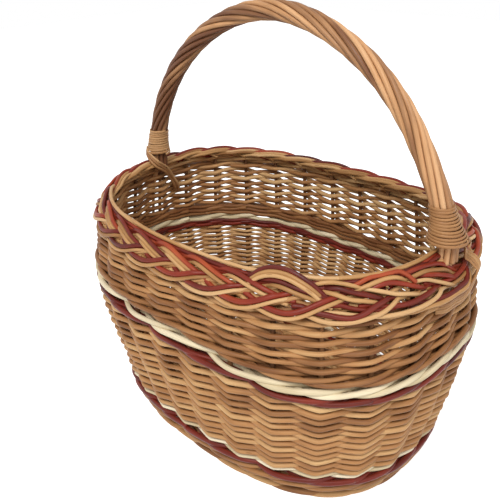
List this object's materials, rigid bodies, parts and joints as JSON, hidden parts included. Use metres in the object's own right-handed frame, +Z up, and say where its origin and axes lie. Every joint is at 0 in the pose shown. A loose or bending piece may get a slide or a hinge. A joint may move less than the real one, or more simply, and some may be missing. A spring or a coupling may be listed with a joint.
{
  "type": "mushroom foraging basket",
  "caption": "Oval willow basket with woven walls, red and cream bands, a plaited border and a fixed bow handle wound with rods, for gathering and carrying mushrooms",
  "frame": {"origin": "middle of the footprint, on the surface that the basket stands on", "axes": "+X along the oval towards one foot of the handle, +Y across it, +Z up"},
  "size_m": [0.3921, 0.2962, 0.4137],
  "materials": {
    "buff_willow": "satin boiled willow",
    "red_willow": "satin red willow",
    "cream_willow": "satin peeled willow",
    "handle_willow": "satin boiled willow",
    "split_willow": "satin split willow",
    "stake_willow": "dull willow"
  },
  "bodies": {
    "root": {"base_weave": "buff_willow", "base_cross_stick_1": "stake_willow", "base_cross_stick_2": "stake_willow", "base_cross_stick_3": "stake_willow", "base_long_stick_1": "stake_willow", "base_long_stick_2": "stake_willow", "stake_01": "stake_willow", "stake_02": "stake_willow", "stake_03": "stake_willow", "stake_04": "stake_willow", "stake_05": "stake_willow", "stake_06": "stake_willow", "stake_07": "stake_willow", "stake_08": "stake_willow", "stake_09": "stake_willow", "stake_10": "stake_willow", "stake_11": "stake_willow", "stake_12": "stake_willow", "stake_13": "stake_willow", "stake_14": "stake_willow", "stake_15": "stake_willow", "stake_16": "stake_willow", "stake_17": "stake_willow", "stake_18": "stake_willow", "stake_19": "stake_willow", "stake_20": "stake_willow", "stake_21": "stake_willow", "stake_22": "stake_willow", "stake_23": "stake_willow", "stake_24": "stake_willow", "stake_25": "stake_willow", "stake_26": "stake_willow", "stake_27": "stake_willow", "stake_28": "stake_willow", "upsett_wale": "buff_willow", "lower_red_wale": "red_willow", "lower_cream_wale": "cream_willow", "lower_siding": "buff_willow", "upper_red_wale": "red_willow", "upper_cream_wale": "cream_willow", "upper_siding": "buff_willow", "border_strand_1": "buff_willow", "border_strand_2": "red_willow", "border_strand_3": "buff_willow", "handle_core": "handle_willow", "handle_rod_1": "handle_willow", "handle_rod_2": "handle_willow", "handle_rod_3": "handle_willow", "handle_rod_4": "handle_willow", "handle_rod_5": "handle_willow", "handle_rod_6": "handle_willow", "handle_rod_7": "handle_willow", "handle_rod_8": "handle_willow", "handle_rod_9": "handle_willow", "handle_binding_right": "split_willow", "handle_binding_left": "split_willow", "lashing_right": "split_willow", "lashing_left": "split_willow"}
  },
  "joints": []
}
